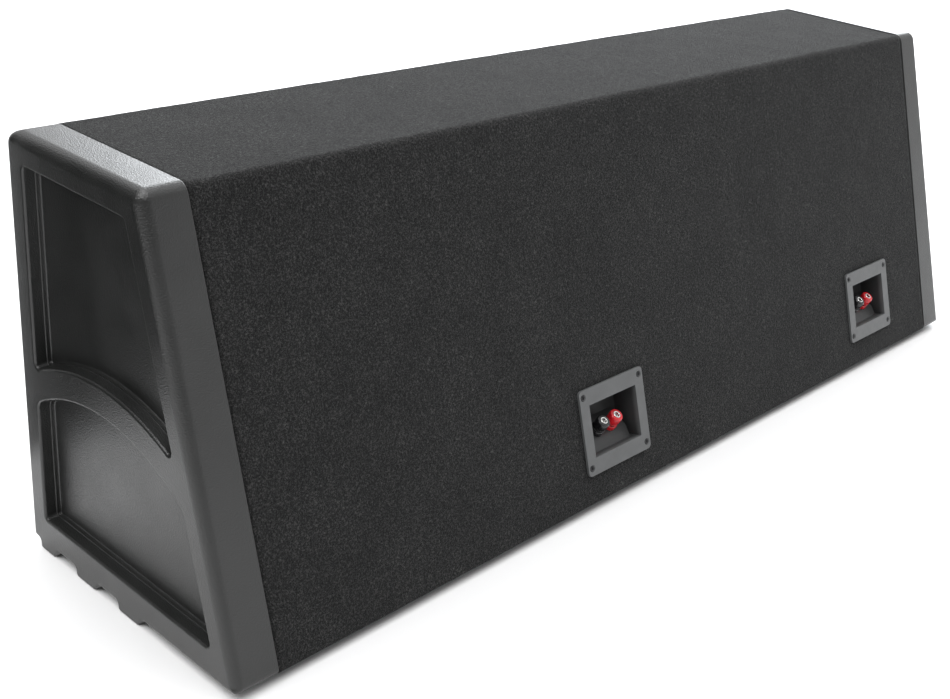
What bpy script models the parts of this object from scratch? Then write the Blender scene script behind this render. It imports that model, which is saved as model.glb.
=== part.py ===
"""Twin 12-inch loudspeaker enclosure: a carpeted wedge box with moulded end caps, two drivers in its upright
front baffle, and two recessed terminal cups low on its sloping rear panel.

Frame: +X along the length, -Y out of the front baffle, +Z up. The origin is at the middle of the bounding box,
on the plane that the feet stand on. Sizes are metres; MM turns millimetres into metres.
"""

import math

import bmesh
import bpy
from mathutils import Matrix, Vector

MM = 0.001
GAP = 0.3 * MM  # clearance between pieces that touch

# Overall size of the cabinet
SEAM_LENGTH = 960 * MM  # between the inner edges of the two end caps
CAP_DEPTH = 37 * MM
CAP_TOP = 342 * MM
RIM = 6 * MM  # height of the caps' lower rim above the feet
DEPTH_TOP = 165 * MM
DEPTH_BOTTOM = 268 * MM
CAP_CORNER = 11 * MM
BASE_CORNER = 5 * MM  # at the bottom, seen from the end
FRONT_PROUD = 15.5 * MM  # how far the driver surrounds stand in front of the caps
SLOPE = math.atan2(DEPTH_BOTTOM - DEPTH_TOP, CAP_TOP - RIM)  # of the rear, from upright
# The lower rear corner is sharp and rounded over, so the true depth ends where the rounding leaves the slope.
ROUNDED_OFF = BASE_CORNER * (math.tan(SLOPE) + 1 / math.cos(SLOPE) - math.cos(SLOPE))
Y_FRONT = (FRONT_PROUD - DEPTH_BOTTOM + ROUNDED_OFF) / 2
X_SEAM = SEAM_LENGTH / 2
X_FACE = X_SEAM + CAP_DEPTH

# Box panels, measured inwards from the caps' outline
CARPET_INSET = 1.5 * MM
CARPET = 3 * MM
WOOD_INSET = CARPET_INSET + CARPET + GAP
BAFFLE = 18 * MM
BOARD = 16 * MM
BOX_END = 500 * MM
EDGE_ROUND = 3 * MM
UNDER_ROUND = 2.5 * MM  # of the carpet round the rear panel's lower edge, which is left square
DRIVER_HOLE = 140 * MM
CARPET_HOLE = 141 * MM

# End caps
SKIRT_WALL = 4.4 * MM
CAP_WALL = 3 * MM
WINDOW_DEPTH = 13 * MM
FACE_ROUND = 10 * MM  # of the rear and top edges, over to the face
FRONT_ROUND = 5 * MM
BOTTOM_ROUND = 4.5 * MM
FOOT_ROUND = 1.5 * MM
FEET = ((8 * MM, 38 * MM), (60 * MM, 96 * MM), (118 * MM, 154 * MM))  # along the rim, from the front edge
FOOT_CORNER = 4 * MM
FOOT_RISE_FRONT = 4 * MM  # how far along the rim each end of a foot slopes
FOOT_RISE_REAR = 8 * MM
ARCH_CENTRE = (110 * MM, -16 * MM)  # from the front edge, and above the rim
ARCH_OUTER = 192 * MM
ARCH_INNER = 168 * MM
WINDOW_FRONT = 20.5 * MM
WINDOW_TOP = 22.5 * MM
WINDOW_REAR = 22.5 * MM
WINDOW_BOTTOM = 24 * MM
WINDOW_CORNER = 4 * MM

# Drivers
DRIVER_X = 240 * MM
DRIVER_Z = 174 * MM
DRIVER_STEPS = 20
HOLE_STEPS = 32
SPOKES = 6
WINDOW_ANGLE = math.radians(40)
TERMINAL_ANGLE = math.radians(210)

# Terminal cups
CUP_X = {"right": 97 * MM, "left": -354 * MM}
CUP_DOWN = 284 * MM  # from the upper rear edge, down the slope
CUP_WIDTH = 87 * MM
CUP_HEIGHT = 78 * MM
CUP_FLANGE = 2.4 * MM
CUP_PROUD = 3.5 * MM  # from the carpet to the flange's front
CUP_MOUTH = (64 * MM, 48 * MM)
CUP_FLOOR = 28 * MM
CUP_WALL = 2.5 * MM
CUP_HOLE = (72 * MM, 56 * MM)
CUP_SCREWS = (38.5 * MM, 32.2 * MM)
SHELF_START = (-24 * MM, -9.5 * MM)  # up the slope, and outwards, from the flange's middle
SHELF_END = (-14 * MM, -13 * MM)
SHELF_STOP = 27 * MM
POST_TILT = math.radians(42)
POST_UP = -8.4 * MM
POST_PITCH = 18 * MM
POST_STEPS = 12
SCREW_STEPS = 8

# Speaker leads
LEAD_RADIUS = 3 * MM
LEAD_POINTS = 26


# ---------------------------------------------------------------- materials and objects


def material(name, colour, roughness, metallic=0.0):
    made = bpy.data.materials.new(name)
    made.use_nodes = True
    shader = made.node_tree.nodes["Principled BSDF"]
    shader.inputs["Base Color"].default_value = (*colour, 1)
    shader.inputs["Roughness"].default_value = roughness
    shader.inputs["Metallic"].default_value = metallic
    return made


def add_object(name, bm, finish, parent=None, location=(0, 0, 0), smooth=True):
    """Closes a bmesh into a named object with its faces pointing out."""
    bmesh.ops.recalc_face_normals(bm, faces=bm.faces)
    mesh = bpy.data.meshes.new(name)
    bm.to_mesh(mesh)
    bm.free()
    if smooth:
        mesh.shade_smooth()
        mesh.set_sharp_from_angle(angle=math.radians(32))
    if finish:
        mesh.materials.append(finish)
    obj = bpy.data.objects.new(name, mesh)
    bpy.context.scene.collection.objects.link(obj)
    obj.parent = parent
    obj.location = location
    return obj


def add_cutter(name, bm, parent=None):
    cutter = add_object(name, bm, None, parent, smooth=False)
    cutter.hide_render = True
    cutter.display_type = "WIRE"
    return cutter


def add_axis(name, location, rotation, parent=None):
    axis = bpy.data.objects.new(name, None)
    bpy.context.scene.collection.objects.link(axis)
    axis.parent = parent
    axis.location = location
    axis.rotation_euler = rotation
    return axis


def boolean(obj, other, operation="DIFFERENCE"):
    modifier = obj.modifiers.new(operation.lower(), "BOOLEAN")
    modifier.operation = operation
    modifier.object = other


# ---------------------------------------------------------------- outlines in a plane


class Line:
    """One straight side of an outline that runs anticlockwise, so its inside is on its left."""

    def __init__(self, start, end):
        self.point = Vector(start)
        self.along = (Vector(end) - self.point).normalized()
        self.inward = Vector((-self.along.y, self.along.x))

    def moved_in(self, distance):
        start = self.point + self.inward * distance
        return Line(start, start + self.along)

    def nearest(self, point):
        return self.point + self.along * (point - self.point).dot(self.along)


class Arc:
    """One side of an outline that follows a circle, with the outline inside or outside it."""

    def __init__(self, centre, radius, inside):
        self.centre = Vector(centre)
        self.radius = radius
        self.inside = inside

    def moved_in(self, distance):
        return Arc(self.centre, self.radius + (-distance if self.inside else distance), self.inside)

    def nearest(self, point):
        return self.centre + (point - self.centre).normalized() * self.radius


def crossing(first, second):
    """Where two sides cross; of a circle's two crossings with a line, the higher one."""
    if isinstance(first, Arc):
        first, second = second, first
    if isinstance(second, Arc):
        foot = first.nearest(second.centre)
        reach = math.sqrt(second.radius**2 - (foot - second.centre).length_squared)
        return max((foot + first.along * reach, foot - first.along * reach), key=lambda p: p.y)
    share = (second.point - first.point).dot(second.inward) / first.along.dot(second.inward)
    return first.point + first.along * share


def turn_between(centre, start, end, steps):
    """Points on the shorter arc around centre from start to end, both included."""
    first = start - centre
    last = end - centre
    angle = math.atan2(first.x * last.y - first.y * last.x, first.dot(last))
    turned = []
    for i in range(steps + 1):
        turn = Matrix.Rotation(angle * i / steps, 2)
        turned.append(centre + turn @ first)
    return turned


def filleted(sides, radii, steps=3, arc_steps=8):
    """The closed outline of these sides, with radii[i] at the corner from side i to the next."""
    corners = []
    for i, side in enumerate(sides):
        following = sides[(i + 1) % len(sides)]
        if radii[i] == 0:
            corners.append([crossing(side, following)])
            continue
        # A corner that turns right has its fillet outside the outline.
        turns_left = isinstance(side, Arc) or isinstance(following, Arc)
        turns_left = turns_left or side.inward.dot(following.along) > 0
        inset = radii[i] if turns_left else -radii[i]
        centre = crossing(side.moved_in(inset), following.moved_in(inset))
        corners.append(turn_between(centre, side.nearest(centre), following.nearest(centre), steps))
    outline = []
    for i, side in enumerate(sides):
        if isinstance(side, Arc):
            start = corners[i - 1][-1]
            outline += turn_between(side.centre, start, corners[i][0], arc_steps)[1:-1]
        outline += corners[i]
    return outline


def polygon_sides(points):
    return [Line(point, points[(i + 1) % len(points)]) for i, point in enumerate(points)]


def rounded(points, radius, steps=2):
    radii = [radius] * len(points) if isinstance(radius, float) else radius
    return filleted(polygon_sides(points), radii[1:] + radii[:1], steps)


def rectangle(width, height, radius=0.0, steps=2):
    half_x = width / 2
    half_y = height / 2
    return rounded([(-half_x, -half_y), (half_x, -half_y), (half_x, half_y), (-half_x, half_y)], radius, steps)


def circle(radius, steps, phase=0.0):
    turns = (2 * math.pi * i / steps + phase for i in range(steps))
    return [Vector((math.cos(turn), math.sin(turn))) * radius for turn in turns]


# ---------------------------------------------------------------- solids from outlines


def loft(rings):
    """A closed solid through rings of points with equal counts, with flat ends."""
    bm = bmesh.new()
    loops = [[bm.verts.new(point) for point in ring] for ring in rings]
    for low, high in zip(loops, loops[1:]):
        for i in range(len(low)):
            j = (i + 1) % len(low)
            bm.faces.new((low[i], low[j], high[j], high[i]))
    bm.faces.new(loops[0])
    bm.faces.new(loops[-1])
    return bm


def prism_x(outline, x_start, x_end):
    """An outline in Y and Z carried along X."""
    return loft([[(x, point[0], point[1]) for point in outline] for x in (x_start, x_end)])


def prism_z(outline, z_start, z_end):
    return loft([[(point[0], point[1], z) for point in outline] for z in (z_start, z_end)])


def turned(profile, steps):
    """A closed profile of (radius, height) points carried round the local Z axis."""
    bm = bmesh.new()
    loops = []
    for radius, height in profile:
        if radius == 0:
            loops.append([bm.verts.new((0, 0, height))] * steps)
        else:
            loops.append([bm.verts.new((*point, height)) for point in circle(radius, steps)])
    for i, low in enumerate(loops):
        high = loops[(i + 1) % len(loops)]
        for j in range(steps):
            k = (j + 1) % steps
            corners = list(dict.fromkeys((low[j], low[k], high[k], high[j])))
            if len(corners) > 2:
                bm.faces.new(corners)
    return bm


def merged(parts):
    """Several bmeshes as one, for cutters made of separate bodies."""
    together = bmesh.new()
    for part in parts:
        mesh = bpy.data.meshes.new("part")
        bmesh.ops.recalc_face_normals(part, faces=part.faces)
        part.to_mesh(mesh)
        part.free()
        together.from_mesh(mesh)
        bpy.data.meshes.remove(mesh)
    return together


def placed(bm, matrix):
    bmesh.ops.transform(bm, matrix=matrix, verts=bm.verts)
    return bm


# ---------------------------------------------------------------- the wedge's cross-section, in Y and Z


def front_line(inset):
    return lambda z: Y_FRONT + inset


def rear_line(inset):
    """The sloping rear, moved inwards square to itself."""
    return lambda z: Y_FRONT + DEPTH_TOP + (CAP_TOP - z) * math.tan(SLOPE) - inset / math.cos(SLOPE)


def section(front, rear, low, high):
    """The corners of the wedge between two lines and two heights, anticlockwise from the lower front."""
    return [(front(low), low), (rear(low), low), (rear(high), high), (front(high), high)]


def wedge(inset):
    return section(front_line(inset), rear_line(inset), RIM + inset, CAP_TOP - inset)


# ---------------------------------------------------------------- box


def wood_panel(name, corners, finish, ends=(-BOX_END, BOX_END), rounds=0.0):
    return add_object(name, prism_x(rounded(corners, rounds), *ends), finish)


def driver_holes(radius):
    """One cutter with the holes for both drivers."""
    depth = 60 * MM
    upright = Matrix.Rotation(math.pi / 2, 4, "X")
    holes = []
    for side in (-1, 1):
        place = Matrix.Translation((side * DRIVER_X, Y_FRONT, DRIVER_Z)) @ upright
        holes.append(placed(prism_z(circle(radius, HOLE_STEPS), -depth, depth), place))
    return add_cutter(f"driver_holes_{radius / MM:.0f}", merged(holes))


def cup_place(side):
    """The frame of a terminal cup: its origin is in the middle of the flange's front, +Y up the slope, +Z out."""
    down = CUP_DOWN * math.cos(SLOPE)
    z = CAP_TOP - down
    out = Vector((0, math.cos(SLOPE), math.sin(SLOPE)))
    up = Vector((0, -math.sin(SLOPE), math.cos(SLOPE)))
    origin = Vector((CUP_X[side], rear_line(CARPET_INSET)(z), z)) + out * CUP_PROUD
    turn = Matrix((up.cross(out), up, out)).transposed().to_4x4()
    return Matrix.Translation(origin) @ turn


def cup_holes():
    """One cutter with the openings for both cups and their screws."""
    depth = 40 * MM
    holes = []
    for side in CUP_X:
        place = cup_place(side)
        holes.append(placed(prism_z(rectangle(*CUP_HOLE, 4 * MM), -depth, depth), place))
        for x in (-CUP_SCREWS[0], CUP_SCREWS[0]):
            for y in (-CUP_SCREWS[1], CUP_SCREWS[1]):
                bore = prism_z(circle(2 * MM, SCREW_STEPS), -depth, depth)
                holes.append(placed(bore, place @ Matrix.Translation((x, y, 0))))
    return add_cutter("cup_holes", merged(holes))


def build_box(wood, carpet):
    top = CAP_TOP - WOOD_INSET
    bottom = RIM + WOOD_INSET
    behind_baffle = front_line(WOOD_INSET + BAFFLE + GAP)
    before_rear = rear_line(WOOD_INSET + BOARD + GAP)
    cups = cup_holes()

    corners = section(front_line(WOOD_INSET), front_line(WOOD_INSET + BAFFLE), bottom, top)
    baffle = wood_panel("front_baffle", corners, wood, rounds=[EDGE_ROUND, 0, 0, EDGE_ROUND])
    boolean(baffle, driver_holes(DRIVER_HOLE))
    corners = section(rear_line(WOOD_INSET + BOARD), rear_line(WOOD_INSET), bottom, top)
    rear = wood_panel("rear_panel", corners, wood, rounds=[0, 0, EDGE_ROUND, 0])
    boolean(rear, cups)
    wood_panel("top_panel", section(behind_baffle, before_rear, top - BOARD, top), wood)
    wood_panel("bottom_panel", section(behind_baffle, before_rear, bottom, bottom + BOARD), wood)

    inner = section(behind_baffle, before_rear, bottom + BOARD + GAP, top - BOARD - GAP)
    for side, x in (("left", -BOX_END), ("right", BOX_END - BOARD)):
        wood_panel(f"end_panel_{side}", inner, wood, ends=(x, x + BOARD))
    wood_panel("centre_divider", inner, wood, ends=(-BOARD / 2, BOARD / 2))

    x_carpet = X_SEAM - GAP
    bend = EDGE_ROUND + CARPET
    skin = rounded(wedge(CARPET_INSET), [bend, UNDER_ROUND, bend, bend], steps=3)
    wrap = add_object("carpet_wrap", prism_x(skin, -x_carpet, x_carpet), carpet)
    inside = rounded(wedge(CARPET_INSET + CARPET), [EDGE_ROUND, 0, EDGE_ROUND, EDGE_ROUND], steps=3)
    boolean(wrap, add_cutter("carpet_inside", prism_x(inside, -BOX_END, BOX_END)))
    boolean(wrap, driver_holes(CARPET_HOLE))
    boolean(wrap, cups)


# ---------------------------------------------------------------- end caps


def cap_outline():
    """The cap's edge with its three feet: points in Y and Z."""
    points = [(0, RIM)]
    for start, end in FEET:
        points += [(start, RIM), (start + FOOT_RISE_FRONT, 0), (end - FOOT_RISE_REAR, 0), (end, RIM)]
    points = [(Y_FRONT + y, z) for y, z in points]
    points += section(front_line(0), rear_line(0), RIM, CAP_TOP)[1:]
    radii = [BASE_CORNER] + [FOOT_CORNER] * 4 * len(FEET) + [BASE_CORNER, CAP_CORNER, CAP_CORNER]
    return filleted(polygon_sides(points), radii[1:] + radii[:1], steps=3)


def inward_normals(outline):
    normals = []
    for i, point in enumerate(outline):
        before = (point - outline[i - 1]).normalized()
        after = (outline[(i + 1) % len(outline)] - point).normalized()
        along = (before + after).normalized()
        normals.append(Vector((-along.y, along.x)) / max(along.dot(before), 0.5))
    return normals


def between(low, high, share):
    return low + (high - low) * min(max(share, 0), 1)


def face_round(point):
    """How far the cap's edge is rounded over to its face at a point of its outline."""
    low = between(FOOT_ROUND, BOTTOM_ROUND, point.y / RIM)
    high = between(FRONT_ROUND, FACE_ROUND, (point.x - Y_FRONT) / CAP_CORNER)
    return between(low, high, (point.y - RIM) / CAP_CORNER)


def cap_body(side):
    """The cap before its hollows are cut: a straight skirt whose outer edge is rounded over to the face."""
    outline = cap_outline()
    normals = inward_normals(outline)
    radii = []
    for point in outline:
        radii.append(face_round(point))
    rings = [[(side * X_SEAM, *point) for point in outline]]
    for turn in (0, 30, 60, 90):
        lean = math.radians(turn)
        ring = []
        for point, normal, radius in zip(outline, normals, radii):
            moved = point + normal * radius * (1 - math.cos(lean))
            ring.append((side * (X_FACE - radius * (1 - math.sin(lean))), *moved))
        rings.append(ring)
    return loft(rings)


def window_outline(upper, grow=0.0):
    """A recess of the cap's face, above or below the arched rib, made larger all round by grow."""
    front = Y_FRONT + WINDOW_FRONT - grow
    top = CAP_TOP - WINDOW_TOP + grow
    bottom = RIM + WINDOW_BOTTOM - grow
    rear = rear_line(WINDOW_REAR - grow)
    centre = (Y_FRONT + ARCH_CENTRE[0], RIM + ARCH_CENTRE[1])
    sides = [
        Line((rear(bottom), bottom), (rear(top), top)),
        Line((rear(top), top), (front, top)),
        Line((front, top), (front, bottom)),
        Line((front, bottom), (rear(bottom), bottom)),
    ]
    if upper:
        sides[3] = Arc(centre, ARCH_OUTER - grow, inside=False)
        radii = [WINDOW_CORNER, WINDOW_CORNER, WINDOW_CORNER, 3 * MM]
    else:
        sides[1] = Arc(centre, ARCH_INNER + grow, inside=True)
        radii = [14 * MM, 10 * MM, WINDOW_CORNER, WINDOW_CORNER]
    return filleted(sides, radii)


def build_cap(name, side, plastic):
    floor = X_FACE - WINDOW_DEPTH
    cap = add_object(name, cap_body(side), plastic)
    windows = [prism_x(window_outline(upper), side * floor, side * (X_FACE + GAP)) for upper in (True, False)]
    boolean(cap, add_cutter(f"{name}_windows", merged(windows)))
    socket = prism_x(wedge(SKIRT_WALL), side * (X_SEAM - GAP), side * (BOX_END + GAP))
    boolean(cap, add_cutter(f"{name}_socket", socket))
    # The face frame and the arched rib are hollow behind.
    channel = prism_x(wedge(SKIRT_WALL + 2 * MM), side * BOX_END, side * (X_FACE - CAP_WALL))
    channel = add_cutter(f"{name}_channel", channel)
    for upper in (True, False):
        kept = prism_x(window_outline(upper, CAP_WALL), side * (BOX_END - MM), side * X_FACE)
        boolean(channel, add_cutter(f"{name}_boss_{'upper' if upper else 'lower'}", kept))
    boolean(cap, channel)


# ---------------------------------------------------------------- drivers


def mm_profile(*points):
    return [(radius * MM, height * MM) for radius, height in points]


def basket_profile():
    return mm_profile(
        (155, 0.3), (155, 4), (135.8, 4), (135.8, 1.5), (133.3, -15), (96.5, -55.5), (81, -59.5), (65.5, -59.5),
        (62, -89.5), (60, -92.5), (48, -92.5), (48, -95), (62, -95), (64.5, -90), (68, -62), (82, -62),
        (98, -58), (136, -16), (138.5, 0.3),
    )


def surround_profile():
    """A half roll between two flat lips."""
    middle = 127
    roll = 11.5
    wall = 1.8
    steps = 4
    over = []
    under = []
    for i in range(steps + 1):
        turn = math.pi * i / steps
        over.append((middle + roll * math.cos(turn), 5.5 + roll * math.sin(turn)))
        under.append((middle - (roll - wall) * math.cos(turn), 4.3 + (roll - wall) * math.sin(turn)))
    return mm_profile((150, 4.3), (150, 5.5), *over, (108, 5.5), (108, 4.3), *under)


def spider_profile():
    """A corrugated disc between the voice coil and its seat in the basket."""
    inner = 32.4
    seat = 67
    crests = 4
    over = [(inner, -58.3)]
    for i in range(2 * crests):
        share = (i + 1) / (2 * crests + 1)
        over.append((inner + (seat - inner) * share, -58.3 + (-1.6 if i % 2 == 0 else 1.6)))
    over += [(seat, -58.3), (79, -58.3)]
    under = [(radius, height - 0.8) for radius, height in reversed(over)]
    return mm_profile(*over, *under)


def dust_cap_profile():
    outer = [(0, -11.5), (20, -13), (38, -18.5), (50, -25.5), (55, -30)]
    inner = [(radius * 0.96, height - 1.5) for radius, height in reversed(outer[:-1])]
    return mm_profile(*outer, *inner)


def build_driver(side_name, x, finishes):
    axis = add_axis(f"driver_{side_name}_axis", (x, Y_FRONT + CARPET_INSET, DRIVER_Z), (math.pi / 2, 0, 0))

    def piece(name, profile, finish):
        bm = turned(profile, DRIVER_STEPS)
        return add_object(f"{name}_{side_name}", bm, finishes[finish], axis)

    basket = piece("basket", basket_profile(), "basket")
    windows = []
    for i in range(SPOKES):
        middle = 2 * math.pi * i / SPOKES
        ends = [middle - WINDOW_ANGLE / 2, middle, middle + WINDOW_ANGLE / 2]
        rim = [Vector((math.cos(a), math.sin(a))) * 131 * MM for a in ends]
        hub = [Vector((math.cos(a), math.sin(a))) * 101 * MM for a in reversed(ends)]
        windows.append(prism_z(rim + hub, -70 * MM, -5 * MM))
    block = prism_z(rectangle(12 * MM, 16 * MM), -46 * MM, -33 * MM)
    spoke = Matrix.Rotation(TERMINAL_ANGLE, 4, "Z") @ Matrix.Translation((116 * MM, 0, 0))
    boolean(basket, add_cutter(f"basket_windows_{side_name}", merged(windows), axis))
    boolean(basket, add_cutter(f"terminal_block_{side_name}", placed(block, spoke), axis), "UNION")

    piece("trim_ring", mm_profile((155, 5.8), (155, 8), (153, 9), (141.5, 9), (140, 8), (140, 5.8)), "rubber")
    piece("surround", surround_profile(), "rubber")
    cone = mm_profile(
        (114, 4), (107, 3.2), (36, -43), (32.4, -45), (32.4, -47.5), (37, -45.5), (107, 1.2), (114, 2.2)
    )
    piece("cone", cone, "cone")
    piece("dust_cap", dust_cap_profile(), "cone")
    piece("spider", spider_profile(), "spider")
    piece("voice_coil", mm_profile((32, -44), (32, -110), (31, -110), (31, -44)), "coil")
    piece("top_plate", mm_profile((62, -95.3), (62, -103.3), (33.2, -103.3), (33.2, -95.3)), "steel")
    piece("magnet", mm_profile((72, -103.6), (72, -121.6), (40, -121.6), (40, -103.6)), "magnet")
    yoke = mm_profile(
        (30.3, -95.3), (30.3, -121.9), (66, -121.9), (66, -128), (63, -129.9), (12, -129.9), (12, -95.3)
    )
    piece("yoke", yoke, "steel")


# ---------------------------------------------------------------- terminal cups


def recess_profile(grow):
    """The recess in Y (up the slope) and Z (outwards), made larger by grow everywhere but at its mouth."""
    half = CUP_MOUTH[1] / 2
    ramp = math.tan(POST_TILT)
    lean = math.tan(POST_TILT / 2)
    shelf_top = Vector(SHELF_END) + Vector((-grow * lean, -grow))
    deep = -CUP_FLOOR - grow
    foot_y = shelf_top.x + (shelf_top.y - deep) / ramp
    return [
        (half + grow, 1 * MM),
        (half + grow, deep),
        (foot_y, deep),
        tuple(shelf_top),
        (-half - grow, SHELF_START[1] - grow),
        (-half - grow, 1 * MM),
    ]


def cup_solid(grow, top):
    """The recess of a cup as a solid, with the deep pocket beside the end of its shelf."""
    half_x = CUP_MOUTH[0] / 2 + grow
    half_y = CUP_MOUTH[1] / 2 + grow
    profile = [(y, min(z, top)) for y, z in recess_profile(grow)]
    main = loft([[(x, y, z) for y, z in profile] for x in (-half_x, half_x)])
    pocket_start = SHELF_STOP - grow
    width = half_x - pocket_start
    pocket = prism_z(rectangle(width, 2 * half_y), -CUP_FLOOR - grow, top)
    return main, placed(pocket, Matrix.Translation((pocket_start + width / 2, 0, 0)))


def post_place(x):
    """The frame of a binding post in its cup: its origin is on the shelf, and +Z is the post's axis."""
    fall = (POST_UP - SHELF_END[0]) * math.tan(POST_TILT)
    return (x, POST_UP, SHELF_END[1] - fall)


def build_cup(side, finishes):
    place = cup_place(side)
    axis = add_axis(f"cup_{side}_axis", place.to_translation(), place.to_euler())

    flange = prism_z(rectangle(CUP_WIDTH, CUP_HEIGHT, 4 * MM, 3), -CUP_FLANGE, 0)
    cup = add_object(f"terminal_cup_{side}", flange, finishes["cup"], axis)
    for i, solid in enumerate(cup_solid(CUP_WALL, -MM)):
        boolean(cup, add_cutter(f"cup_shell_{side}_{i}", solid, axis), "UNION")
    for i, solid in enumerate(cup_solid(0, MM)):
        boolean(cup, add_cutter(f"cup_recess_{side}_{i}", solid, axis))
    bores = []
    for x in (-CUP_SCREWS[0], CUP_SCREWS[0]):
        for y in (-CUP_SCREWS[1], CUP_SCREWS[1]):
            bore = mm_profile((0, 1), (4.6, 1), (2, -2), (2, -20), (0, -20))
            bores.append(placed(turned(bore, SCREW_STEPS), Matrix.Translation((x, y, 0))))
    tilt = Matrix.Rotation(-POST_TILT, 4, "X")
    for x in (-POST_PITCH / 2, POST_PITCH / 2):
        bore = prism_z(circle(2.4 * MM, POST_STEPS), -8 * MM, 8 * MM)
        bores.append(placed(bore, Matrix.Translation(post_place(x)) @ tilt))
    bores = add_cutter(f"cup_bores_{side}", merged(bores), axis)
    boolean(cup, bores)

    gasket = prism_z(rectangle(CUP_WIDTH - 3 * MM, CUP_HEIGHT - 3 * MM, 3 * MM, 3), -3.2 * MM, -2.7 * MM)
    gasket = add_object(f"cup_gasket_{side}", gasket, finishes["foam"], axis)
    opening = prism_z(rectangle(*CUP_HOLE, 4 * MM), -10 * MM, MM)
    boolean(gasket, add_cutter(f"gasket_opening_{side}", opening, axis))
    boolean(gasket, bores)

    number = 1
    for x in (-CUP_SCREWS[0], CUP_SCREWS[0]):
        for y in (-CUP_SCREWS[1], CUP_SCREWS[1]):
            screw = mm_profile((0, -0.2), (3.1, -0.2), (1.6, -1.9), (1.6, -16), (0, -18))
            screw = turned(screw, SCREW_STEPS)
            add_object(f"cup_screw_{side}_{number}", screw, finishes["screw"], axis, (x, y, 0))
            number += 1

    for colour, x in (("black", -POST_PITCH / 2), ("red", POST_PITCH / 2)):
        build_post(f"{side}_{colour}", axis, post_place(x), colour, finishes)


def build_post(name, cup_axis, location, colour, finishes):
    """A binding post: a collar on the shelf, a threaded stud with its nut behind, a washer and a knob."""
    axis = add_axis(f"post_{name}_axis", location, (-POST_TILT, 0, 0), cup_axis)

    def piece(kind, profile, finish):
        add_object(f"{kind}_{name}", turned(profile, POST_STEPS), finishes[finish], axis)

    piece("post_collar", mm_profile((6.2, 0.2), (6.2, 4.4), (5.6, 5), (2.4, 5), (2.4, 0.2)), colour)
    stud = mm_profile((0, -9), (2, -9), (2, -5.6), (4, -5.6), (4, -2.8), (2, -2.8), (2, 15.2), (0, 15.2))
    piece("post_stud", stud, "plated")
    piece("post_washer", mm_profile((5.2, 5.2), (5.2, 6), (2.4, 6), (2.4, 5.2)), "plated")
    knob = mm_profile((5.9, 6.2), (5.9, 15.4), (5.1, 16.2), (2.4, 16.2), (2.4, 6.2))
    piece("post_knob", knob, colour)


# ---------------------------------------------------------------- internal leads


def smooth_route(points, count):
    """A Catmull-Rom curve through the points, read at equal shares."""
    ends = [points[0] * 2 - points[1], *points, points[-1] * 2 - points[-2]]
    route = []
    for i in range(count):
        share = i / (count - 1) * (len(points) - 1)
        k = min(int(share), len(points) - 2)
        t = share - k
        a, b, c, d = ends[k : k + 4]
        blend = 2 * b + (c - a) * t + (2 * a - 5 * b + 4 * c - d) * t * t + (3 * b - a - 3 * c + d) * t**3
        route.append(blend / 2)
    return route


def build_lead(side, driver_x, finish):
    """From behind the cup's studs, down to the chamber's floor, and up to the basket's terminal block."""
    place = cup_place(side)
    spoke = Vector((math.cos(TERMINAL_ANGLE), math.sin(TERMINAL_ANGLE))) * 116 * MM
    block = Vector((driver_x + spoke.x, Y_FRONT + CARPET_INSET + 46.6 * MM, DRIVER_Z + spoke.y))
    cup_end = place @ Vector((0, -14 * MM, -29 * MM))
    floor = RIM + WOOD_INSET + BOARD + LEAD_RADIUS + 8 * MM
    middle_x = (cup_end.x + block.x) / 2
    points = [
        cup_end,
        cup_end + Vector((0, -16 * MM, -6 * MM)),
        Vector((cup_end.x, cup_end.y - 42 * MM, floor + 3 * MM)),
        Vector((middle_x, (cup_end.y + block.y) / 2 - 10 * MM, floor)),
        Vector((block.x, block.y + 40 * MM, block.z - 40 * MM)),
        block + Vector((0, 14 * MM, -3 * MM)),
        block,
    ]
    curve = bpy.data.curves.new(f"speaker_lead_{side}", "CURVE")
    curve.dimensions = "3D"
    curve.bevel_depth = LEAD_RADIUS
    curve.bevel_resolution = 2
    curve.use_fill_caps = True
    curve.materials.append(finish)
    spline = curve.splines.new("POLY")
    spline.points.add(LEAD_POINTS - 1)
    for point, where in zip(spline.points, smooth_route(points, LEAD_POINTS)):
        point.co = (*where, 1)
    obj = bpy.data.objects.new(f"speaker_lead_{side}", curve)
    bpy.context.scene.collection.objects.link(obj)


# ---------------------------------------------------------------- everything


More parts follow.
